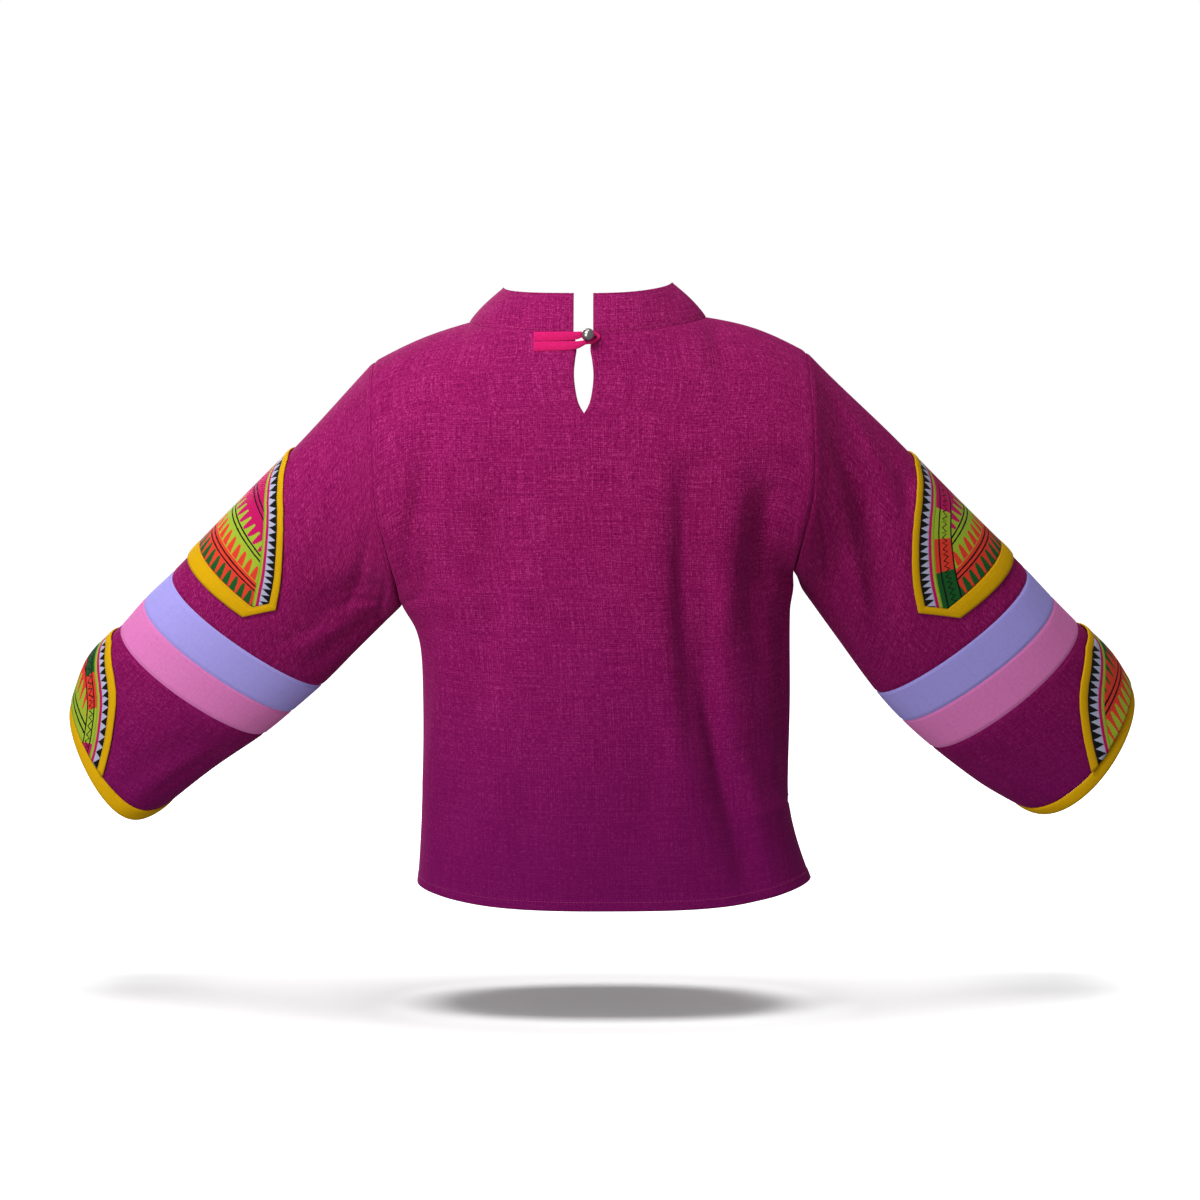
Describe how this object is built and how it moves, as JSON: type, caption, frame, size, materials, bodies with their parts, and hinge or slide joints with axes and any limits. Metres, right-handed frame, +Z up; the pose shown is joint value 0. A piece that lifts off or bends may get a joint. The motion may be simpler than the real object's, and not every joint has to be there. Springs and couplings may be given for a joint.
{
  "type": "embroidered hemp top",
  "caption": "Cropped magenta hemp top with a stand collar, a keyhole back with loop and ball button, wide sleeves with lilac and pink bands, embroidered patches and bound cuffs.",
  "frame": {"origin": "middle of the neck at the height of the shoulders, where the wearer's shoulders hold the top up", "axes": "+Z up, -Y towards the front of the wearer, +X towards the wearer's left hand"},
  "size_m": [1.0511, 0.2527, 0.5822],
  "materials": {
    "hemp": "plain-weave hemp, slubby and matte",
    "lilac": "plain weave, matte",
    "pink": "plain weave, matte",
    "yellow": "smooth binding cloth, matte",
    "embroidery": "cross stitch and applique, satin thread",
    "hot_pink": "turned fabric tube, matte",
    "steel": "polished ball"
  },
  "bodies": {
    "root": {"back_panel": "hemp", "front_panel": "hemp", "collar": "hemp", "sleeve_upper_left": "hemp", "lilac_band_left": "lilac", "pink_band_left": "pink", "sleeve_lower_left": "hemp", "cuff_binding_left": "yellow", "upper_patch_left": "embroidery", "upper_patch_binding_left": "yellow", "cuff_patch_left": "embroidery", "cuff_patch_binding_left": "yellow", "sleeve_upper_right": "hemp", "lilac_band_right": "lilac", "pink_band_right": "pink", "sleeve_lower_right": "hemp", "cuff_binding_right": "yellow", "upper_patch_right": "embroidery", "upper_patch_binding_right": "yellow", "cuff_patch_right": "embroidery", "cuff_patch_binding_right": "yellow", "button_loop": "hot_pink", "button": "steel"}
  },
  "joints": []
}
